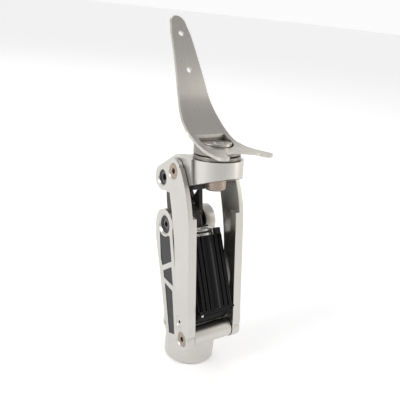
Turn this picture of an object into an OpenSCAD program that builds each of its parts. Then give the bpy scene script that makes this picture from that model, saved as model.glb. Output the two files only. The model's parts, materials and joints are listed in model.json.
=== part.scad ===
// Four-bar prosthetic knee joint with a swing-phase cylinder, a tube clamp and a lamination anchor.
// Millimetres. +Z runs up the shin tube's axis, X is sideways, -Y is the front of the knee.

/* [Tube clamp] */
// Bore for the shin tube
tube_d = 30; // [29:0.5:31]
// Outer radius of the clamp
clamp_r = 20.5; // [20.5:0.1:21.5]
// Depth of the shin tube's socket
socket_depth = 30; // [26:1:31]

/* [Linkage pivots] */
// Upper front pivot, distance behind the tube axis
front_upper_y = 10.5; // [10:0.1:11]
// Upper front pivot, height
front_upper_z = 158.5; // [158:0.1:159]
// Lower front pivot, distance behind the tube axis
front_lower_y = -23.5; // [-24:0.1:-23]
// Lower front pivot, height
front_lower_z = 32.9; // [32.5:0.1:33.5]
// Upper rear pivot, distance behind the tube axis
rear_upper_y = 31.5; // [31:0.1:32]
// Upper rear pivot, height
rear_upper_z = 146.5; // [146:0.1:147]
// Lower rear pivot, distance behind the tube axis
rear_lower_y = 23.5; // [23:0.1:24]
// Lower rear pivot, height
rear_lower_z = 109.5; // [109:0.1:110]
// Cylinder's lower pivot, distance behind the tube axis
cyl_pivot_y = -18; // [-18.5:0.1:-17.5]
// Cylinder's lower pivot, height
cyl_pivot_z = 45.5; // [45:0.1:46]
// Rod's pin in the rear link, distance behind the tube axis
rod_pin_y = 21.3; // [21:0.1:21.6]
// Rod's pin in the rear link, height
rod_pin_z = 119.8; // [119.5:0.1:120.1]

/* [Side plates] */
// Outer face of the side plates, from the middle
plate_out_x = 25.4; // [25:0.1:26]
// Inner face of the plates' web, from the middle
web_in_x = 21.6; // [21.5:0.1:22]
// Inner face of the plates' front rim, from the middle
rim_in_x = 18.1; // [18.1:0.1:18.4]

/* [Head] */
// Radius of the head's round front
head_r = 19.8; // [19.5:0.1:20]
// Outer face of the head's cheeks
head_cheek_x = 21.3; // [21.1:0.1:21.4]
// Forward tilt taken out by the head's top face, in degrees
head_tilt = 6; // [4:0.5:8]
// Centre of the rotation disc behind the tube axis
disc_y = -7.4; // [-8:0.1:-7]
// Height of the head's top face at the disc's centre
disc_z = 172; // [171.5:0.1:172.5]
// Radius of the rotation disc
disc_r = 17.5; // [17:0.1:17.6]

/* [Anchor] */
// Thickness of the anchor's sheet
anchor_t = 2.2; // [2:0.1:2.6]
// Radius of the holes in the anchor's arm
anchor_hole_r = 2.25; // [2:0.05:2.5]

/* [Cylinder] */
// Radius of the cylinder's gland cap
cap_r = 11; // [10:0.5:11.5]
// Radius of the piston rod
rod_r = 4; // [3.5:0.25:4.5]
// Lean of the cylinder, in degrees
cyl_lean = 26.1; // [25.8:0.1:26.4]
// Half width of the finned body
cyl_half_w = 15.8; // [15:0.1:16]

/* [Hidden] */
$fn = 64;
eps = 0.05;
run = 0.05;                       // radial clearance of a running fit

front_upper = [front_upper_y, front_upper_z];
front_lower = [front_lower_y, front_lower_z];
rear_upper = [rear_upper_y, rear_upper_z];
rear_lower = [rear_lower_y, rear_lower_z];
cyl_pivot = [cyl_pivot_y, cyl_pivot_z];

rod_pin_at = [rod_pin_y, rod_pin_z];

// the cylinder's own frame: z runs up the rod, y points back and down
pin_reach = rod_pin_at - cyl_pivot;
rod_eye_y = pin_reach[0] * cos(cyl_lean) - pin_reach[1] * sin(cyl_lean);
rod_eye_z = pin_reach[0] * sin(cyl_lean) + pin_reach[1] * cos(cyl_lean);
rod_y = -7;                       // the rod lies ahead of its lower pivot

frame_out_x = 20.6;
frame_in_x = 11.5;
eye_r = 12.7;
barrel_r = 7.6;
barrel_half = 17.4;
pinch_at = [24, 15];
pinch_r = 3;
pinch_head_r = 5;
cross_pin_r = 3;
screw_bore_r = 3.1;
bearing_r = 7;
rear_axle_r = 4.5;
axle_r = 4.5;
bush_t = 1.2;
upper_bush_r = 6;
stub_in_x = 14;
link_out_x = 11;
link_in_x = 8;
small_head_r = 4.2;
ear_r = 10;
ear_hole_r = 5.8;
pocket_x = 13.2;                  // half width of the head's pocket for the rear link

// ---- helpers ----

// 2D shapes drawn as (y, z), extruded along x from x0 to x1
module along_x(x0, x1) {
    translate([x0, 0, 0]) rotate([90, 0, 90]) linear_extrude(x1 - x0) children();
}

module both_sides() {
    children();
    mirror([1, 0, 0]) children();
}

// a cylinder along x about the point p = [y, z]
module pin_x(p, r, x0, x1) {
    translate([x0, p[0], p[1]]) rotate([0, 90, 0]) cylinder(r = r, h = x1 - x0);
}

// a cone along x about the point p, radius r0 at x0 and r1 at x1
module cone_x(p, x0, x1, r0, r1) {
    translate([x0, p[0], p[1]]) rotate([0, 90, 0]) cylinder(r1 = r0, r2 = r1, h = x1 - x0);
}

module in_cylinder_frame() {
    translate([0, cyl_pivot_y, cyl_pivot_z]) rotate([-cyl_lean, 0, 0]) children();
}

module in_disc_frame() {
    translate([0, disc_y, disc_z]) rotate([-head_tilt, 0, 0]) children();
}

// point at t on the quadratic Bezier curve a, k, b
function bez(a, k, b, t) = (1 - t) * (1 - t) * a + 2 * t * (1 - t) * k + t * t * b;
function curve(a, k, b, n) = [for (i = [0:n]) bez(a, k, b, i / n)];
// unit normal, to the left of the curve's direction
function bez_dir(a, k, b, t) = (1 - t) * (k - a) + t * (b - k);
function left_of(v) = [-v[1], v[0]] / norm(v);
function offset_curve(a, k, b, n, d) =
    [for (i = [0:n]) bez(a, k, b, i / n) + d * left_of(bez_dir(a, k, b, i / n))];
function reversed(list) = [for (i = [len(list) - 1:-1:0]) list[i]];

module hex_socket(af, depth) {
    cylinder(r = af / sqrt(3), h = depth, $fn = 6);
}

// countersunk screw along +x: its flat head's face at x1, socket outwards
module flat_screw(p, x1, head_r, shank_r, length, af) {
    difference() {
        union() {
            cone_x(p, x1 - head_r + shank_r, x1, shank_r, head_r);
            pin_x(p, shank_r, x1 - length, x1 - head_r + shank_r + eps);
        }
        translate([x1 - 2.4, p[0], p[1]]) rotate([0, 90, 0]) hex_socket(af, 3);
    }
}

// ---- lower frame (body: frame) ----

// rear edge and front edge of the frame's cheeks
cheek_front = [[11, 108], [7, 96], [2.5, 80], [-3, 62], [-7, 50], [-8.8, 40], [-8.8, 34]];
cheek_rear = [[4, 20], [9, 29.6], [17.8, 53.2], [26.2, 74.9], [34.4, 95], [36.2, 107]];

module cheek_shape() {
    difference() {
        union() {
            translate(rear_lower) circle(r = eye_r);
            polygon(concat(cheek_front, [[-8.8, 20]], cheek_rear));
        }
        translate(rear_lower) circle(r = bearing_r);
    }
}

// three windows per cheek, drawn smaller by d all round
module window_shapes(d) {
    difference() {
        polygon([[29.4 - d, 103], [13.8 + d * 0.8, 103], [7.8 + d, 84 + d * 0.4],
            [20.6 - d, 74.6 + d * 1.3], [24, 79.5 + d]]);
        translate(rear_lower) circle(r = 9.6 + d);
    }
    polygon([[18.6 - d * 1.3, 71], [7.2 + d * 0.9, 79.6 - d * 1.1], [2.4 + d, 65 + d], [16.4 - d, 65.6 + d]]);
    polygon([[14.6 - d * 1.2, 61.8 - d], [2.6 + d * 0.9, 60.4 - d], [-6.6 + d, 25.4 + d],
        [1.3 - d * 0.9, 22.4 + d * 1.3]]);
}

inlay_depth = 1.4;

module lower_frame() color("gainsboro") {
    difference() {
        union() {
            // cheeks
            both_sides() along_x(frame_in_x, frame_out_x) cheek_shape();
            // clamp and the block above it
            translate([0, 0, 1.5]) cylinder(r = clamp_r, h = 34.5);
            cylinder(r1 = clamp_r - 1.5, r2 = clamp_r, h = 1.5);
            // pinch lug behind the clamp
            along_x(-9, 9) polygon([[10, 2], [21, 2], [29, 17], [29, 22], [25, 26], [10, 26]]);
            // neck and barrel of the lower front pivot
            along_x(-barrel_half + 0.5, barrel_half - 0.5)
                polygon([[-6, 21], [-20, 24.5], [-26, 27], [-26, 39.2], [-21, 38.2], [-9, 35.4]]);
            pin_x(front_lower, barrel_r, -barrel_half, barrel_half);
        }
        // shallow windows of the inlays
        both_sides() along_x(frame_out_x - inlay_depth, frame_out_x + 1) window_shapes(0);
        translate([0, 0, -1]) cylinder(r = tube_d / 2, h = socket_depth + 1);
        // slit and pinch bolt hole
        translate([-1, 8, -1]) cube([2, 30, 28]);
        pin_x(pinch_at, pinch_r + 0.2, -12, 12);
        pin_x(pinch_at, pinch_head_r + 0.6, -12, -6);
        translate([6, pinch_at[0], pinch_at[1]]) rotate([0, 90, 0]) cylinder(r = 5.8, h = 6, $fn = 6);
        // bore of the lower front pivot
        pin_x(front_lower, axle_r + bush_t, -20, 20);
        // bright edge of the bearing bores
        both_sides() cone_x(rear_lower, frame_out_x - 1.2, frame_out_x + eps, bearing_r, bearing_r + 1.25);
    }
}

module frame_inlays() color("#2b2c30") {
    both_sides() along_x(frame_out_x - inlay_depth + eps, frame_out_x - 0.3) window_shapes(0.12);
}

module clamp_screw() color("silver") {
    difference() {
        union() {
            pin_x(pinch_at, pinch_head_r, -9.2, -6.05);
            pin_x(pinch_at, pinch_r, -6.1, 8.8);
        }
        translate([-10, pinch_at[0], pinch_at[1]]) rotate([0, 90, 0]) hex_socket(5, 3);
    }
}

module clamp_nut() color("silver") {
    difference() {
        translate([6.05, pinch_at[0], pinch_at[1]]) rotate([0, 90, 0]) cylinder(r = 5.7, h = 2.7, $fn = 6);
        pin_x(pinch_at, pinch_r + run, 5, 12);
    }
}

module rear_lower_axle() color("dimgray") {
    difference() {
        pin_x(rear_lower, rear_axle_r, -18.6, 18.6);
        both_sides() translate([15.6, rear_lower_y, rear_lower_z]) rotate([0, 90, 0]) hex_socket(4, 4);
    }
}

module rear_lower_bearings() color("#202022") {
    both_sides() difference() {
        pin_x(rear_lower, bearing_r, frame_in_x, frame_out_x - 1.6);
        pin_x(rear_lower, rear_axle_r, 0, 30);
    }
}

module barrel_bushes() color("peru") {
    both_sides() difference() {
        pin_x(front_lower, axle_r + bush_t, 8, barrel_half);
        pin_x(front_lower, axle_r + run, 0, 30);
    }
}

// ---- front link (body: front_link) ----

plate_top_r = 9.4;
plate_foot_r = 8.2;
front_a = [1.6, 163.4];
front_k = [-14, 144.2];
front_b = [-17.5, 122];
front_c = [-31.2, 38];
rear_a = [18.6, 153.8];
rear_k = [1.8, 120];
rear_b = [-3, 92];
rear_c = [-9.4, 60];
rear_d = [-15.6, 31.8];
notch_z = 129.5;
foot_top_z = 51;
rim_w = 5;

module plate_shape() {
    translate(front_upper) circle(r = plate_top_r);
    translate(front_lower) circle(r = plate_foot_r);
    polygon(concat(curve(front_a, front_k, front_b, 12), [front_c, [-19, 27.8], rear_d, [-12.6, 44], rear_c],
        reversed(curve(rear_a, rear_k, rear_b, 12))));
}

// the band along the plate's front edge, and its whole foot
module rim_shape() {
    intersection() {
        plate_shape();
        union() {
            polygon([[-40, notch_z], [-14.2 + rim_w, notch_z], [-17 + rim_w, 115],
                [-24.5 + rim_w, foot_top_z + 24], [-25 + rim_w, foot_top_z], [-40, foot_top_z]]);
            polygon([[-40, foot_top_z + eps], [-6, foot_top_z + eps], [-6, 20], [-40, 20]]);
        }
    }
}

// layers that step in to form the bevel along the plate's outer edge
module side_plate() {
    difference() {
        union() {
            along_x(web_in_x, plate_out_x) plate_shape();
            along_x(rim_in_x, web_in_x + eps) rim_shape();
        }
        pin_x(front_upper, screw_bore_r, 10, 30);
        pin_x(front_lower, screw_bore_r, 10, 30);
        pin_x(cyl_pivot, 2.1, 10, 30);
        cone_x(front_upper, plate_out_x - 3.3, plate_out_x + eps, screw_bore_r, 6.3);
        cone_x(front_lower, plate_out_x - 3.3, plate_out_x + eps, screw_bore_r, 6.3);
        cone_x(cyl_pivot, plate_out_x - 2.5, plate_out_x + eps, 2.1, 4.5);
    }
}

module left_side_plate() color("gainsboro") mirror([1, 0, 0]) side_plate();
module right_side_plate() color("gainsboro") side_plate();

module lower_front_axle() color("silver") {
    difference() {
        pin_x(front_lower, axle_r, -rim_in_x + eps, rim_in_x - eps);
        both_sides() pin_x(front_lower, 3, 6, 20);
    }
}

module pivot_screws(p, length) {
    both_sides() flat_screw(p, plate_out_x - 0.5, 5.6, 2.95, length, 4);
}

module lower_pivot_screws() color("rosybrown") pivot_screws(front_lower, 14);
module upper_pivot_screws() color("rosybrown") pivot_screws(front_upper, 9.5);

module upper_front_stubs() color("silver") {
    both_sides() difference() {
        pin_x(front_upper, axle_r, stub_in_x, web_in_x - eps);
        pin_x(front_upper, 3, stub_in_x - 8, 30);
    }
}

module cylinder_cross_pin() color("silver") {
    difference() {
        pin_x(cyl_pivot, cross_pin_r, -rim_in_x + eps, rim_in_x - eps);
        both_sides() pin_x(cyl_pivot, 2, 10, 20);
    }
}

module cross_pin_screws() color("silver") {
    both_sides() flat_screw(cyl_pivot, plate_out_x - 0.4, small_head_r - 0.2, 1.95, 14, 2.5);
}

// ---- head (body: head) ----

head_low_z = 147;
deck_rear = 11.8;                 // the head's roof ends here, over the pocket
bolt_seat = 13;                   // depth of the bolt's seat under the head's top face
bolt_low = 23.6;
centre_bore_r = 4.1;

module head_cheek_shape() {
    translate(rear_upper) circle(r = ear_r);
    translate(front_upper) circle(r = 10.6);
    polygon([[-4, 176], [6.1, 176], [37, 154.6], [39.6, 151.6], [36, 140], [31.5, 137.2], [20, 138],
        [8, head_low_z], [-3, head_low_z + 4.1], [-12, head_low_z + 8.2]]);
}

module head_block() color("gainsboro") {
    difference() {
        union() {
            // round front about the disc's axis
            intersection() {
                in_disc_frame() translate([0, 0, -40]) cylinder(r = head_r, h = 50);
                along_x(-30, 30) polygon([[-40, head_low_z + 21.1], [-4, head_low_z + 4.2],
                    [7.6, head_low_z], [deck_rear, head_low_z], [deck_rear, 190], [-40, 190]]);
            }
            // roof over the pocket
            along_x(-pocket_x - 2, pocket_x + 2) polygon([[-3, head_low_z + 6], [deck_rear, head_low_z + 6],
                [deck_rear, 178], [-3, 178]]);
            // cheeks and ears
            both_sides() along_x(pocket_x - 1.6, head_cheek_x) head_cheek_shape();
        }
        // the head's flat top
        in_disc_frame() translate([-40, -60, 0]) cube([80, 120, 40]);
        // pocket for the rear link and the rod's yoke
        along_x(-pocket_x, pocket_x) polygon([[4, 130], [4, 160], [7, 163.4], [deck_rear + 1, 163.4],
            [deck_rear + 1, 190], [60, 190], [60, 130]]);
        // shoulders beside the side plates
        both_sides() along_x(head_r - 0.4, 30) polygon([[-40, 130], [-40, 190], [-2.2, 190], [-8, 160],
            [-16, 130]]);
        // bores of the pivots
        both_sides() pin_x(front_upper, upper_bush_r, pocket_x - 1, 30);
        both_sides() pin_x(rear_upper, ear_hole_r, 10, 30);
        both_sides() cone_x(rear_upper, head_cheek_x - 1, head_cheek_x + eps, ear_hole_r, ear_hole_r + 1.05);
        // bore of the central screw and seat of the bolt below
        in_disc_frame() translate([0, 0, -40]) cylinder(r = centre_bore_r, h = 50);
        in_disc_frame() translate([0, 0, -40]) cylinder(r = 8.3, h = 40 - bolt_seat);
    }
}

module head_bushes() color("peru") {
    both_sides() difference() {
        pin_x(front_upper, upper_bush_r, pocket_x, head_cheek_x);
        pin_x(front_upper, axle_r + run, 0, 30);
    }
}

module rear_upper_stubs() color("#3a3a3c") {
    both_sides() difference() {
        pin_x(rear_upper, ear_hole_r, pocket_x, head_cheek_x - 2.2);
        translate([head_cheek_x - 4.4, rear_upper_y, rear_upper_z]) rotate([0, 90, 0]) hex_socket(5, 4);
    }
}

module extension_buffer() color("#19191a") {
    along_x(-12.8, 12.8) polygon([[-0.9, 149.8], [3.8, 148.1], [3.8, 145.8], [-0.9, 146.2]]);
}

module head_bolt() color("#b8a58f") {
    in_disc_frame() difference() {
        union() {
            translate([0, 0, -bolt_low]) cylinder(r1 = 6.8, r2 = 7.8, h = 1);
            translate([0, 0, 1 - bolt_low]) cylinder(r = 7.8, h = bolt_low - bolt_seat - 1.05);
            translate([0, 0, -bolt_seat - 0.1]) cylinder(r = 4.05, h = bolt_seat + 4);
        }
        translate([0, 0, -bolt_low - 1]) hex_socket(6, 4.5);
        translate([0, 0, -8]) cylinder(r = 2.5, h = 20);
    }
}

// ---- rotation disc, hub and lamination anchor (on the head) ----

ring_h = 3;
gap_h = 0.9;
plate_low = 8.1;                  // the clamping disc's underside in the disc's frame
plate_h = 3.2;
window_r = 13.2;
window_y = 2.4;                   // centre of the window's round front in the disc's frame
window_rear = 10;                 // the window's straight edge
module rotation_disc() color("#6e6a63") {
    in_disc_frame() difference() {
        union() {
            cylinder(r = disc_r, h = ring_h - 0.5);
            translate([0, 0, ring_h - 0.5]) cylinder(r1 = disc_r, r2 = disc_r - 0.5, h = 0.5);
            cylinder(r = disc_r - 2.2, h = ring_h + gap_h);
        }
        translate([0, 0, -1]) cylinder(r = centre_bore_r, h = 10);
    }
}

// the sheet's upper face, as [y, z] in the knee's frame
arm_a = [-6, 183.2];
arm_k = [18.5, 189.6];
arm_b = [31.5, 212.5];
arm_c = [46, 240];
arm_tip = [65.2, 265.6];

// the bowl from the prongs' ends to the arm, then the arm itself
bowl_front = [[-46, 183.8], [-38, 183.2], [-25, 182.2], [-16, 182.1]];
arm_overrun = [2.1, 2.8];

function lowered(list, d) = [for (p = list) p - [0, d]];
function bowl_line(d) =
    concat(lowered(bowl_front, d), offset_curve(arm_a, arm_k, arm_b, 10, -d));

module sheet_profile() {
    polygon(concat(bowl_line(0), curve(arm_b, arm_c, arm_tip, 8), [arm_tip + arm_overrun],
        [arm_tip + arm_overrun + [0.8, -0.6] * anchor_t],
        reversed(offset_curve(arm_b, arm_c, arm_tip, 8, -anchor_t)), reversed(bowl_line(anchor_t))));
}

// fills the bowl up to the sheet, with a seat for the clamping disc
module hub_ring() color("#6e6a63") {
    difference() {
        intersection() {
            in_disc_frame() translate([0, 0, ring_h + gap_h]) cylinder(r = disc_r - 0.1, h = 16);
            along_x(-30, 30) polygon(concat([[-60, 160]], bowl_line(anchor_t + eps), [[60, 160]]));
        }
        in_disc_frame() translate([0, 0, -1]) cylinder(r = centre_bore_r, h = 30);
        in_disc_frame() translate([0, 0, plate_low - 0.1]) linear_extrude(20)
            window_plan(window_r - 0.5, window_rear - 0.4);
    }
}

// the arm seen from in front: half width against height
arm_widths = [[17.2, 187.5], [16.6, 194], [13.8, 207], [10.8, 231], [8.3, 253]];
arm_tip_r = 6.6;
tip_centre_z = 259;

module arm_front_view() {
    polygon(concat([for (w = arm_widths) [-w[0], w[1]]],
        [[-arm_tip_r, tip_centre_z], [arm_tip_r, tip_centre_z]],
        [for (w = reversed(arm_widths)) [w[0], w[1]]]));
    translate([0, tip_centre_z]) circle(r = arm_tip_r);
}

prong_tip = [19, -38.6];
prong_tip_r = 4.4;
notch_y = -24.6;

module prong_outline() {
    translate(prong_tip) circle(r = prong_tip_r);
    polygon([[0, 0], [17.4, -4], [19.4, -18], [21.6, -28], prong_tip + [4.3, 0.8], prong_tip + [-3.9, -1.9],
        [13.9, -35.4], [11.6, -31.4], [8, -28.4], [4.6, -26], [0, notch_y]]);
}

module hub_plan() {
    translate([0, disc_y]) circle(r = disc_r + 0.1);
    prong_outline();
    mirror([1, 0]) prong_outline();
    translate([-17.2, disc_y]) square([34.4, 15]);
}

// round in front, straight behind
module window_plan(r, rear) {
    difference() {
        translate([0, window_y]) circle(r = r);
        translate([-20, rear]) square([40, 20]);
    }
    translate([0.4 - r, window_y]) square([2 * r - 0.8, rear - window_y]);
}

module lamination_anchor() color("#8d8a84") {
    difference() {
        intersection() {
            along_x(-30, 30) sheet_profile();
            union() {
                translate([0, 0, 150]) linear_extrude(37.5 + eps) hub_plan();
                translate([0, 90, 0]) rotate([90, 0, 0]) linear_extrude(160) arm_front_view();
            }
        }
        in_disc_frame() translate([0, 0, ring_h]) linear_extrude(20) window_plan(window_r, window_rear);
        // two holes square to the arm
        for (p = [[56.2, 253.3], [39.4, 228.6]])
            translate([0, p[0], p[1]]) rotate([-34, 0, 0]) rotate([90, 0, 0])
                translate([0, 0, -8]) cylinder(r = anchor_hole_r, h = 16);
    }
}

module clamping_disc() color("#98958f") {
    in_disc_frame() difference() {
        translate([0, 0.3, plate_low]) linear_extrude(plate_h) window_plan(window_r - 1, window_rear - 1);
        cylinder(r = centre_bore_r, h = 20);
        translate([0, 0, plate_low + plate_h - 1.8]) cylinder(r = 4.7, h = 5);
    }
}

module top_screw() color("silver") {
    in_disc_frame() difference() {
        union() {
            translate([0, 0, plate_low + 1.45]) cylinder(r = 4.5, h = 1.7);
            translate([0, 0, plate_low + 3.15]) cylinder(r1 = 4.5, r2 = 3.7, h = 0.6);
            translate([0, 0, -7.5]) cylinder(r = 2.45, h = 16);
            translate([0, 0, 4.5]) cylinder(r = 4, h = plate_low - 2);
        }
        translate([0, 0, plate_low + 1]) hex_socket(4, 5);
    }
}

// ---- rear link (body: rear_link) ----

link_top_r = 9;
rod_pin_r = 2.5;
link_foot_r = 8.6;
link_hole_r = 2.4;
washer_r = 11.5;

module rear_link_shape() {
    translate(rear_upper) circle(r = link_top_r);
    translate(rear_lower) circle(r = link_foot_r);
    polygon(concat(curve([22.6, 145.4], [19.4, 130], [15.4, 112.6], 8), [[23.5, 101], [32, 108.2]],
        curve([32.2, 110], [41.2, 125], [40.4, 147.5], 8), [[31.5, 155.4]]));
}

module link_window() {
    polygon([[23.4, 136.4], [34.6, 132.8], [29.6, 126.9]]);
}

module rear_link() color("#47453f") {
    difference() {
        union() {
            both_sides() along_x(link_in_x, link_out_x) rear_link_shape();
            // web across the back
            along_x(-link_out_x, link_out_x) polygon(concat(curve([34.4, 114], [38.8, 123], [39.3, 134], 6),
                [[36.4, 134], [34.2, 121], [31.8, 115]]));
        }
        both_sides() along_x(0, 20) link_window();
        pin_x([28.2, 122.6], link_hole_r, -20, 20);
        pin_x(rod_pin_at, rod_pin_r + run, -20, 20);
        pin_x(rear_upper, 5.8, -20, 20);
        pin_x(rear_lower, 5.8, -20, 20);
    }
}

module link_bushes(p, bore) {
    both_sides() difference() {
        pin_x(p, 5.8, link_in_x, link_out_x);
        pin_x(p, bore, 0, 20);
    }
}

module rear_link_upper_bushes() color("peru") link_bushes(rear_upper, 4.5);
module rear_link_lower_bushes() color("peru") link_bushes(rear_lower, rear_axle_r + run);

module rod_pin() color("silver") pin_x(rod_pin_at, rod_pin_r, -link_out_x + eps, link_out_x - eps);

// between the link's cheeks and the frame's, on the frame
module thrust_washers() color("#101011") {
    both_sides() difference() {
        pin_x(rear_lower, washer_r, link_out_x + 0.1, frame_in_x - eps);
        pin_x(rear_lower, rear_axle_r + run, 0, 30);
    }
}

// ---- cylinder (body: cylinder) and rod (body: rod) ----

body_low = 4;
body_high = 62.5;
body_front = -17.9;               // y of the body's front face in the cylinder's frame
body_rear = 2.6;
wide_rear = -2.4;                 // behind this the body narrows to pass between the frame's cheeks
rear_half_w = 10.9;
tube_r = 11.4;
bore_r = 8.6;
bore_low = 12;
fins_low = body_low + 2;
cap_low = body_high;
cap_high = 69.5;
fin_pitch = 4.2;
fin_gap = 1.5;

module fin_profile() {
    difference() {
        union() {
            translate([-cyl_half_w, body_front + 2.6]) square([2 * cyl_half_w, wide_rear - body_front - 2.6]);
            translate([-cyl_half_w + 2.4, body_front]) square([2 * (cyl_half_w - 2.4), wide_rear - body_front]);
            translate([-rear_half_w, wide_rear - eps]) square([2 * rear_half_w, body_rear - wide_rear + eps]);
            translate([0, rod_y]) circle(r = tube_r);
        }
        // grooves down both flanks and the front
        for (s = [-1, 1], i = [0:2])
            translate([s * cyl_half_w, body_front + 4.9 + i * fin_pitch]) square([4.4, fin_gap], center = true);
        for (s = [-1, 1], i = [0:1])
            translate([s * (6.2 + i * fin_pitch), body_front]) square([fin_gap, 4], center = true);
    }
}

module cylinder_body() color("#17181a") {
    in_cylinder_frame() difference() {
        union() {
            translate([0, 0, fins_low]) linear_extrude(body_high - fins_low) fin_profile();
            translate([-cyl_half_w, body_front, body_low])
                cube([2 * cyl_half_w, body_rear - body_front, fins_low - body_low + eps]);
        }
        translate([0, rod_y, bore_low]) cylinder(r = bore_r, h = body_high);
    }
}

foot_r = 5.6;
foot_bush_r = 3.9;

module cylinder_foot() color("#202123") {
    in_cylinder_frame() difference() {
        union() {
            translate([-cyl_half_w, 0, 0]) rotate([0, 90, 0]) cylinder(r = foot_r, h = 2 * cyl_half_w);
            translate([-cyl_half_w, -12, 0.4]) cube([2 * cyl_half_w, 12, body_low - 0.4 - eps]);
        }
        translate([-20, 0, 0]) rotate([0, 90, 0]) cylinder(r = foot_bush_r, h = 40);
        translate([-20, -20, body_low - eps]) cube([40, 40, 20]);
    }
}

module cylinder_foot_bush() color("peru") {
    difference() {
        pin_x(cyl_pivot, foot_bush_r, 0.4 - cyl_half_w, cyl_half_w - 0.4);
        pin_x(cyl_pivot, cross_pin_r + run, -20, 20);
    }
}

module gland_cap() color("silver") {
    in_cylinder_frame() translate([0, rod_y, 0]) difference() {
        union() {
            translate([0, 0, cap_low]) cylinder(r = cap_r, h = 2.2);
            translate([0, 0, cap_low + 3.6]) cylinder(r = cap_r, h = 1.6);
            translate([0, 0, cap_low + 5.2]) cylinder(r1 = cap_r, r2 = cap_r - 1.8, h = cap_high - cap_low - 5.2);
            translate([0, 0, cap_low - 6]) cylinder(r = bore_r - eps, h = 12);
        }
        translate([0, 0, 0]) cylinder(r = rod_r + run, h = 100);
    }
}

module gland_seal() color("#101011") {
    in_cylinder_frame() translate([0, rod_y, 0]) difference() {
        translate([0, 0, cap_low + 2.2]) cylinder(r = cap_r - 0.4, h = 1.4);
        translate([0, 0, 0]) cylinder(r = bore_r, h = 100);
    }
}

// rubber ring that the rod's eye comes down on
module stop_ring() color("#101011") {
    in_cylinder_frame() translate([0, rod_y, cap_high + eps]) difference() {
        union() {
            cylinder(r = 8.4, h = 0.8);
            translate([0, 0, 0.8]) cylinder(r1 = 8.4, r2 = 7.4, h = 0.5);
        }
        translate([0, 0, -1]) cylinder(r = rod_r + 0.5, h = 4);
    }
}

module charging_valve() color("silver") {
    in_cylinder_frame() translate([-11.5, -12 - eps, 2.3]) rotate([90, 0, 0]) {
        cylinder(r = 1.2, h = 0.8);
        translate([0, 0, 0.8]) cylinder(r1 = 1.2, r2 = 0.6, h = 0.6);
    }
}

knob_x = 12.4;
knob_y = -14.2;
knob_r = 3;

module damping_knob() color("#131314") {
    in_cylinder_frame() translate([knob_x, knob_y, body_high + 0.1]) difference() {
        union() {
            cylinder(r = knob_r, h = 4.4);
            translate([0, 0, 4.3]) cylinder(r1 = knob_r, r2 = knob_r - 0.5, h = 0.5);
        }
        for (i = [0:7])
            rotate([0, 0, i * 45]) translate([knob_r + 0.15, 0, 1.4]) cylinder(r = 0.6, h = 5, $fn = 16);
        translate([-0.45, -2.2, 3.8]) cube([0.9, 4.4, 2]);
    }
}

piston_z = 44;
piston_h = 9;

eye_wall = 1.8;
eye_play = 0.7;                   // the eye's radial play about its pin, where the closed linkage is opened
crank_z = 79.4;

// the rod and the cranked eye on its end
module piston_rod() color("#3b3a38") {
    in_cylinder_frame() difference() {
        union() {
            translate([0, rod_y, piston_z + piston_h])
                cylinder(r = rod_r, h = crank_z + 3 - piston_z - piston_h);
            along_x(-4.5, 4.5) polygon([[rod_y - 3.4, crank_z], [rod_eye_y + 1, crank_z],
                [rod_eye_y + 1, rod_eye_z + 4.4], [rod_eye_y - 3, rod_eye_z + 3.4],
                [rod_y - 3.4, crank_z + 2]]);
            translate([-4.5, rod_eye_y, rod_eye_z]) rotate([0, 90, 0])
                cylinder(r = rod_pin_r + eye_play + eye_wall, h = 9);
        }
        translate([-10, rod_eye_y, rod_eye_z]) rotate([0, 90, 0]) cylinder(r = rod_pin_r + eye_play, h = 20);
    }
}

module piston() color("gray") {
    in_cylinder_frame() translate([0, rod_y, piston_z]) difference() {
        cylinder(r = bore_r - run, h = piston_h);
        translate([0, 0, 3.4]) difference() {
            cylinder(r = 12, h = 2.2);
            translate([0, 0, -1]) cylinder(r = 6.6, h = 5);
        }
    }
}

module piston_seal() color("#101011") {
    in_cylinder_frame() translate([0, rod_y, piston_z + 3.45]) difference() {
        cylinder(r = bore_r - run, h = 2.1);
        translate([0, 0, -1]) cylinder(r = 6.6, h = 5);
    }
}

lower_frame();
frame_inlays();
clamp_screw();
clamp_nut();
rear_lower_axle();
rear_lower_bearings();
barrel_bushes();
left_side_plate();
right_side_plate();
lower_front_axle();
lower_pivot_screws();
upper_pivot_screws();
upper_front_stubs();
cylinder_cross_pin();
cross_pin_screws();
head_block();
head_bushes();
rear_upper_stubs();
extension_buffer();
head_bolt();
rotation_disc();
hub_ring();
lamination_anchor();
clamping_disc();
top_screw();
rear_link();
rear_link_upper_bushes();
rear_link_lower_bushes();
rod_pin();
thrust_washers();
cylinder_body();
cylinder_foot();
cylinder_foot_bush();
gland_cap();
gland_seal();
stop_ring();
charging_valve();
damping_knob();
piston_rod();
piston();
piston_seal();
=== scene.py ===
"""Looks of the four-bar prosthetic knee joint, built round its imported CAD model.

Metres. +Z runs up the shin tube's axis, +X along the pivots, -Y is the front of the knee.
"""

import json
import math

import bmesh
import bpy
from mathutils import Matrix, Vector

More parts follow.
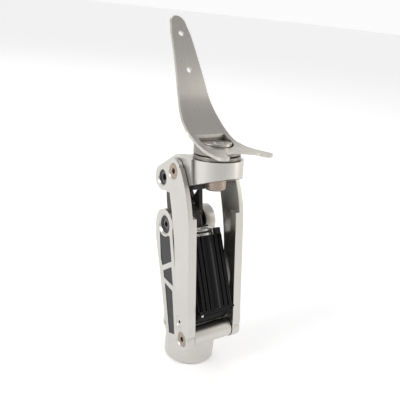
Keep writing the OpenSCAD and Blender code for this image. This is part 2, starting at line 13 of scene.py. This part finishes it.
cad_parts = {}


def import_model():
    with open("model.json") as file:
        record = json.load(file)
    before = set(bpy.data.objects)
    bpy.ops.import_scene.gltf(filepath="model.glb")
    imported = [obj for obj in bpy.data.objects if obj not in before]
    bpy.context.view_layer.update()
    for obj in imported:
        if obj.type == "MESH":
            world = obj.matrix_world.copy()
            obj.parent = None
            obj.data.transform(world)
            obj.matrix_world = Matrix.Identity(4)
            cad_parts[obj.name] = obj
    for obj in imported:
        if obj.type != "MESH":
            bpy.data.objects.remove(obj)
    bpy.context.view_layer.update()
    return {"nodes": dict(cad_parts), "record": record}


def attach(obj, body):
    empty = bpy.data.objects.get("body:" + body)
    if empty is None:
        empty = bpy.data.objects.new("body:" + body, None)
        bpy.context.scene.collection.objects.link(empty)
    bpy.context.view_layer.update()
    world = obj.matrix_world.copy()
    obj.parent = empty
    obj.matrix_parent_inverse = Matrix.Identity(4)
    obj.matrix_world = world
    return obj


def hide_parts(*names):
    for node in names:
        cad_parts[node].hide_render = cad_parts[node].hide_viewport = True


MM = 0.001

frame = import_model()
nodes = frame["nodes"]
body_of_node = {n: b for b, ns in frame["record"]["behaviour"]["bodies"].items() for n in ns}
slot_of_node = {s["node"]: s["material_slot"] for s in frame["record"]["subparts"]}


# ---------------------------------------------------------------- materials

class Nodes:
    """A material's node tree, with short calls for the nodes that the finishes share."""

    def __init__(self, name):
        self.material = bpy.data.materials.new(name)
        self.material.use_nodes = True
        self.tree = self.material.node_tree
        self.shader = self.tree.nodes["Principled BSDF"]
        self.coords = self.tree.nodes.new("ShaderNodeTexCoord").outputs["Object"]

    def put(self, socket, value):
        if isinstance(value, bpy.types.NodeSocket):
            self.tree.links.new(value, socket)
        else:
            socket.default_value = value

    def add(self, kind, values=None, **settings):
        node = self.tree.nodes.new("ShaderNode" + kind)
        for key, value in settings.items():
            setattr(node, key, value)
        for key, value in (values or {}).items():
            self.put(node.inputs[key], value)
        return node

    def stretched(self, scale, turn=(0, 0, 0)):
        """Object coordinates, turned and then scaled, per metre."""
        node = self.add("Mapping", {"Vector": self.coords, "Rotation": turn, "Scale": scale})
        return node.outputs["Vector"]

    def noise(self, vector, scale=1.0, detail=3.0, roughness=0.5):
        values = {"Vector": vector, "Scale": scale, "Detail": detail, "Roughness": roughness}
        return self.add("TexNoise", values).outputs["Fac"]

    def ramp(self, factor, low, high, out_low, out_high):
        values = {"Value": factor, "From Min": low, "From Max": high, "To Min": out_low,
                  "To Max": out_high}
        return self.add("MapRange", values).outputs["Result"]

    def math(self, operation, a, b=0.0):
        node = self.add("Math", operation=operation)
        self.put(node.inputs[0], a)
        self.put(node.inputs[1], b)
        return node.outputs[0]

    def mix(self, factor, a, b):
        node = self.add("Mix", data_type="RGBA")
        self.put(node.inputs[0], factor)
        self.put(node.inputs[6], a)
        self.put(node.inputs[7], b)
        return node.outputs[2]

    def bump(self, height, distance, strength):
        values = {"Height": height, "Distance": distance, "Strength": strength}
        return self.add("Bump", values).outputs["Normal"]

    def edges(self, radius):
        """0 on flat faces, rising to 1 along sharp edges."""
        rounded = self.add("Bevel", {"Radius": radius}, samples=6).outputs["Normal"]
        plain = self.add("NewGeometry").outputs["Normal"]
        dot = self.add("VectorMath", operation="DOT_PRODUCT")
        self.put(dot.inputs[0], rounded)
        self.put(dot.inputs[1], plain)
        return self.ramp(dot.outputs["Value"], 0.999, 0.85, 0.0, 1.0)

    def painted_crevice_shade(self, tone, reach=1.6 * MM, depth=0.75):
        """Paints shade into the tone where surfaces close in on each other, as in the seams round a
        screw: an ambient-occlusion shadow laid into the colour.
        """
        open_sky = self.add("AmbientOcclusion", {"Distance": reach}, samples=8).outputs["AO"]
        # painted shade: the tone is pulled toward near black where the ambient occlusion finds surfaces
        # close by
        return self.mix(self.ramp(open_sky, 0.3, 0.8, depth, 0.0), tone, rgb(0.03, 0.028, 0.025))

    def shade(self, **values):
        names = {"base": "Base Color", "metallic": "Metallic", "rough": "Roughness",
                 "normal": "Normal", "coat": "Coat Weight", "coat_rough": "Coat Roughness",
                 "specular": "Specular IOR Level", "glow": "Emission Color",
                 "glow_strength": "Emission Strength"}
        for key, value in values.items():
            self.put(self.shader.inputs[names[key]], value)
        return self.material


def rgb(r, g, b):
    return (r, g, b, 1.0)


def times(base, factor):
    """A tone made paler or darker by a factor."""
    return rgb(*[min(c * factor, 1) for c in base])


def bead_blasted(name, base, rough):
    """Aluminium with a fine blasted grain, slight tone changes and brighter, smoother edges."""
    n = Nodes(name)
    grain = n.noise(n.coords, 2600.0, 4.0, 0.7)
    cloud = n.noise(n.coords, 38.0, 3.0, 0.6)
    edge = n.edges(0.5 * MM)
    tone = n.mix(n.ramp(cloud, 0.3, 0.7, 0.0, 1.0), times(base, 0.95), times(base, 1.03))
    tone = n.mix(n.math("MULTIPLY", edge, 0.5), tone, rgb(0.86, 0.85, 0.82))
    # painted shade: the tone darkens in seams and crevices
    tone = n.painted_crevice_shade(tone)
    roughness = n.ramp(n.math("ADD", grain, cloud), 0.7, 1.3, rough - 0.05, rough + 0.06)
    roughness = n.math("SUBTRACT", roughness, n.math("MULTIPLY", edge, 0.12))
    return n.shade(base=tone, metallic=1.0, rough=roughness, normal=n.bump(grain, 0.012 * MM, 0.5))


def brushed(name, base, rough, scale, dark):
    """Metal brushed one way: fine streaks in its tone, roughness and bump."""
    n = Nodes(name)
    streak = n.noise(n.stretched(scale), 1.0, 5.0, 0.65)
    cloud = n.noise(n.coords, 30.0, 2.0)
    tone = n.mix(n.ramp(streak, 0.3, 0.7, 0.0, 1.0), times(base, dark), rgb(*base))
    tone = n.mix(n.ramp(cloud, 0.35, 0.65, 0.0, 0.25), tone, times(base, 0.9))
    # painted shade: the tone darkens in seams and crevices
    tone = n.painted_crevice_shade(tone, 2.2 * MM)
    roughness = n.ramp(streak, 0.3, 0.7, rough + 0.07, rough - 0.05)
    return n.shade(base=tone, metallic=1.0, rough=roughness, normal=n.bump(streak, 0.01 * MM, 0.5))


def turned(name, base, rough, rings=2600.0):
    """A lathe-turned finish: fine rings from the tool, and a slight mottle."""
    n = Nodes(name)
    fine = n.noise(n.stretched((40, 40, rings)), 1.0, 3.0, 0.6)
    mottle = n.noise(n.coords, 420.0, 4.0, 0.6)
    tone = n.mix(n.ramp(fine, 0.35, 0.65, 0.0, 1.0), times(base, 0.85), rgb(*base))
    tone = n.mix(n.ramp(mottle, 0.4, 0.7, 0.0, 0.3), tone, times(base, 0.8))
    # painted shade: the tone darkens in seams and crevices
    tone = n.painted_crevice_shade(tone)
    roughness = n.ramp(fine, 0.3, 0.7, rough + 0.06, rough - 0.04)
    return n.shade(base=tone, metallic=1.0, rough=roughness, normal=n.bump(fine, 0.008 * MM, 0.4))


def anodised(name, base, rough, edge_tone, specular=0.5):
    """A dark anodised coat that has rubbed paler along its edges."""
    n = Nodes(name)
    grain = n.noise(n.coords, 1500.0, 3.0, 0.6)
    scuff = n.noise(n.stretched((900, 90, 90), (0.3, 0.5, 0.2)), 1.0, 4.0, 0.7)
    edge = n.edges(0.35 * MM)
    tone = n.mix(n.ramp(scuff, 0.6, 0.8, 0.0, 0.15), rgb(*base), times(base, 1.9))
    tone = n.mix(n.math("MULTIPLY", edge, n.ramp(grain, 0.3, 0.7, 0.35, 0.8)), tone, rgb(*edge_tone))
    roughness = n.ramp(grain, 0.3, 0.7, rough - 0.05, rough + 0.05)
    return n.shade(base=tone, metallic=0.35, rough=roughness, specular=specular,
                   normal=n.bump(grain, 0.01 * MM, 0.4))


def carbon_weave(name):
    """Twill of dark fibres under a clear lacquer, seen on the cheeks' flat sides."""
    n = Nodes(name)
    flat = n.add("SeparateXYZ", {"Vector": n.coords})
    pitch = 1.6 * MM
    u = n.math("DIVIDE", n.math("ADD", flat.outputs["Y"], flat.outputs["Z"]), pitch)
    v = n.math("DIVIDE", n.math("SUBTRACT", flat.outputs["Z"], flat.outputs["Y"]), pitch)
    over = n.math("GREATER_THAN", n.math("SINE", n.math("MULTIPLY", n.math("ADD", u, v), math.pi)), 0.0)
    thread_u = n.math("ABSOLUTE", n.math("SINE", n.math("MULTIPLY", u, math.pi)))
    thread_v = n.math("ABSOLUTE", n.math("SINE", n.math("MULTIPLY", v, math.pi)))
    pick = n.add("Mix", {"Factor": over, "A": thread_u, "B": thread_v}).outputs[0]
    tone = n.mix(pick, rgb(0.006, 0.006, 0.007), rgb(0.035, 0.035, 0.038))
    return n.shade(base=tone, metallic=0.1, rough=n.ramp(pick, 0.0, 1.0, 0.5, 0.32),
                   coat=0.12, coat_rough=0.2, specular=0.3,
                   normal=n.bump(pick, 0.05 * MM, 0.6))


def rubbery(name, base, rough):
    n = Nodes(name)
    grain = n.noise(n.coords, 1800.0, 5.0, 0.7)
    tone = n.mix(n.ramp(grain, 0.35, 0.65, 0.0, 1.0), times(base, 0.75), times(base, 1.2))
    return n.shade(base=tone, metallic=0.0, rough=n.ramp(grain, 0.3, 0.7, rough - 0.06, rough + 0.06),
                   normal=n.bump(grain, 0.02 * MM, 0.5))


finish = {
    "cast_aluminium": bead_blasted("satin aluminium", (0.60, 0.585, 0.55), 0.32),
    "carbon_inlay": carbon_weave("carbon weave"),
    "bright_steel": turned("bright steel", (0.66, 0.65, 0.63), 0.2),
    "dark_steel": turned("dark steel", (0.16, 0.155, 0.15), 0.42),
    "black_plastic": rubbery("black acetal", (0.022, 0.022, 0.023), 0.42),
    "bronze": turned("bearing bronze", (0.52, 0.36, 0.21), 0.34),
    "tan_screw": turned("warm grey screw", (0.40, 0.33, 0.27), 0.32),
    "black_rubber": rubbery("black rubber", (0.018, 0.018, 0.018), 0.6),
    "grey_titanium": turned("turned titanium", (0.30, 0.28, 0.25), 0.34),
    "brushed_titanium": brushed("brushed titanium", (0.63, 0.605, 0.56), 0.30, (2400, 60, 26), 0.78),
    "gunmetal": anodised("gunmetal", (0.05, 0.045, 0.04), 0.36, (0.30, 0.28, 0.25)),
    "black_anodised": anodised("black anodised", (0.006, 0.006, 0.0065), 0.22, (0.22, 0.22, 0.23), 0.22),
}


# ---------------------------------------------------------------- finished pieces

def smooth(obj, degrees):
    """Smooth shading that keeps edges sharper than this many degrees."""
    bm = bmesh.new()
    bm.from_mesh(obj.data)
    limit = math.radians(degrees)
    for f in bm.faces:
        f.smooth = True
    for e in bm.edges:
        e.smooth = len(e.link_faces) == 2 and e.calc_face_angle(0.0) < limit
    bm.to_mesh(obj.data)
    bm.free()


WELD = 1e-6
FLAT = math.radians(0.5)
CREASE = 60
EDGE_ANGLE = 35
SHEET_EDGE_ANGLE = 52             # spares the facets of the anchor's curve


def bake(obj):
    """Turns the modifiers' result into the object's own mesh."""
    depsgraph = bpy.context.evaluated_depsgraph_get()
    obj.data = bpy.data.meshes.new_from_object(obj.evaluated_get(depsgraph))
    obj.modifiers.clear()


def bevelled(node, width, degrees):
    """A copy of a CAD node with its edges broken, as a machinist leaves them. It stands for the node.

    Edges sharper than this many degrees are broken.
    """
    mesh = nodes[node].data.copy()
    obj = bpy.data.objects.new(node + ".edged", mesh)
    bpy.context.scene.collection.objects.link(obj)
    bm = bmesh.new()
    bm.from_mesh(mesh)
    bmesh.ops.remove_doubles(bm, verts=bm.verts, dist=WELD)
    bmesh.ops.dissolve_limit(bm, angle_limit=FLAT, verts=bm.verts, edges=bm.edges)
    bm.to_mesh(mesh)
    bm.free()
    mod = obj.modifiers.new("edges", "BEVEL")
    mod.width = width
    mod.segments = 2
    mod.limit_method = "ANGLE"
    mod.angle_limit = math.radians(degrees)
    mod.use_clamp_overlap = True
    mod.harden_normals = False
    bake(obj)
    smooth(obj, CREASE)
    mod = obj.modifiers.new("normals", "WEIGHTED_NORMAL")
    mod.keep_sharp = True
    mod.weight = 90
    bake(obj)
    obj.data.materials.clear()
    obj.data.materials.append(finish[slot_of_node[node]])
    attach(obj, body_of_node[node])
    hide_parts(node)
    return obj


EDGED = {
    "lower_frame": 0.5 * MM,
    "left_side_plate": 0.9 * MM,
    "right_side_plate": 0.9 * MM,
    "head_block": 0.45 * MM,
    "rotation_disc": 0.3 * MM,
    "hub_ring": 0.3 * MM,
    "lamination_anchor": 0.35 * MM,
    "clamping_disc": 0.3 * MM,
    "gland_cap": 0.3 * MM,
    "cylinder_body": 0.3 * MM,
    "rear_link": 0.4 * MM,
    "cylinder_foot": 0.4 * MM,
    "piston_rod": 0.3 * MM,
    "head_bolt": 0.3 * MM,
    "damping_knob": 0.15 * MM,
}
for node, width in EDGED.items():
    bevelled(node, width, SHEET_EDGE_ANGLE if node == "lamination_anchor" else EDGE_ANGLE)

for name, obj in nodes.items():
    if name not in EDGED:
        obj.data.materials.clear()
        obj.data.materials.append(finish[slot_of_node[name]])


# ---------------------------------------------------------------- floor, light and camera

FLOOR_SIZE = 60.0
SENSOR = 36.0


def floor():
    bpy.ops.mesh.primitive_plane_add(size=FLOOR_SIZE, location=(0, 0, 0))
    obj = bpy.context.object
    obj.name = "floor"
    n = Nodes("glowing studio floor")
    speck = n.noise(n.coords, 60.0, 2.0)
    tone = n.mix(n.ramp(speck, 0.3, 0.7, 0.0, 1.0), rgb(0.90, 0.90, 0.905), rgb(0.92, 0.92, 0.92))
    # painted light: the floor glows by emission, which whitens it and lights the knee from below though
    # it is no lamp
    obj.data.materials.append(n.shade(base=tone, rough=0.6, specular=0.15, glow=tone, glow_strength=0.38))


def softbox(name, place, aim, size, watts, tint=(1, 1, 1)):
    lamp = bpy.data.lights.new(name, "AREA")
    lamp.shape = "RECTANGLE"
    lamp.size, lamp.size_y = size
    lamp.energy = watts
    lamp.color = tint
    obj = bpy.data.objects.new(name, lamp)
    obj.location = place
    obj.rotation_euler = (Vector(aim) - Vector(place)).to_track_quat("-Z", "Y").to_euler()
    bpy.context.scene.collection.objects.link(obj)


def world(horizon, zenith, dim_side):
    """A pale room: brightest round the horizon, dimmer overhead and on the dim side."""
    w = bpy.data.worlds.new("studio")
    w.use_nodes = True
    tree = w.node_tree
    coords = tree.nodes.new("ShaderNodeTexCoord")
    parts = tree.nodes.new("ShaderNodeSeparateXYZ")
    ramp = tree.nodes.new("ShaderNodeValToRGB")
    tree.links.new(coords.outputs["Generated"], parts.inputs["Vector"])
    tree.links.new(parts.outputs["Z"], ramp.inputs["Fac"])
    # a dimmer stretch of wall in front of the knee shades its round faces
    facing = tree.nodes.new("ShaderNodeVectorMath")
    facing.operation = "DOT_PRODUCT"
    facing.inputs[1].default_value = dim_side
    tree.links.new(coords.outputs["Generated"], facing.inputs[0])
    wall = tree.nodes.new("ShaderNodeMapRange")
    wall.interpolation_type = "SMOOTHSTEP"
    wall.inputs["From Min"].default_value = 0.45
    wall.inputs["From Max"].default_value = 0.97
    wall.inputs["To Min"].default_value = 1.0
    wall.inputs["To Max"].default_value = 0.38
    tree.links.new(facing.outputs["Value"], wall.inputs["Value"])
    tree.links.new(wall.outputs["Result"], tree.nodes["Background"].inputs["Strength"])
    tree.links.new(ramp.outputs["Color"], tree.nodes["Background"].inputs["Color"])
    # behind the object the room is one plain pale tone, from every side
    backdrop = tree.nodes.new("ShaderNodeBackground")
    backdrop.inputs["Color"].default_value = rgb(0.97, 0.97, 0.97)
    seen = tree.nodes.new("ShaderNodeLightPath")
    pick = tree.nodes.new("ShaderNodeMixShader")
    tree.links.new(seen.outputs["Is Camera Ray"], pick.inputs["Fac"])
    tree.links.new(tree.nodes["Background"].outputs["Background"], pick.inputs[1])
    tree.links.new(backdrop.outputs["Background"], pick.inputs[2])
    tree.links.new(pick.outputs["Shader"], tree.nodes["World Output"].inputs["Surface"])
    ramp.color_ramp.elements[0].position = 0.12
    ramp.color_ramp.elements[0].color = horizon
    ramp.color_ramp.elements[1].position = 0.75
    ramp.color_ramp.elements[1].color = zenith
    bpy.context.scene.world = w


def camera(place, azimuth, elevation, roll, lens):
    """The camera looks along azimuth, measured from +Y, and down by elevation; roll turns it."""
    az, el, ro = (math.radians(a) for a in (azimuth, elevation, roll))
    back = Vector((math.sin(az) * math.cos(el), -math.cos(az) * math.cos(el), math.sin(el)))
    level = (-back).cross(Vector((0, 0, 1))).normalized()
    up = level.cross(-back)
    right = math.cos(ro) * level + math.sin(ro) * up
    top = math.cos(ro) * up - math.sin(ro) * level
    data = bpy.data.cameras.new("camera")
    data.lens = lens
    data.sensor_width = SENSOR
    data.clip_start = 0.01
    obj = bpy.data.objects.new("camera", data)
    obj.matrix_world = Matrix.Translation(place) @ Matrix((right, top, back)).transposed().to_4x4()
    bpy.context.scene.collection.objects.link(obj)
    bpy.context.scene.camera = obj


camera(place=(-0.22535, -0.30018, 0.27293), azimuth=-36.22, elevation=20.05, roll=6.49,
       lens=47.07)
floor()
world(horizon=rgb(0.98, 0.965, 0.935), zenith=rgb(0.50, 0.50, 0.51),
      dim_side=(-0.45, -0.89, 0.0))
MIDDLE = (0.0, 0.0, 0.13)
softbox("left", (-1.3, 0.1, 1.0), MIDDLE, (0.6, 1.0), 9)
softbox("right", (1.4, -0.9, 0.6), MIDDLE, (0.35, 1.4), 5.0, (1.0, 0.95, 0.87))
softbox("back", (0.2, 1.4, 1.5), MIDDLE, (1.4, 0.9), 5)
bpy.context.scene.view_settings.view_transform = "Standard"
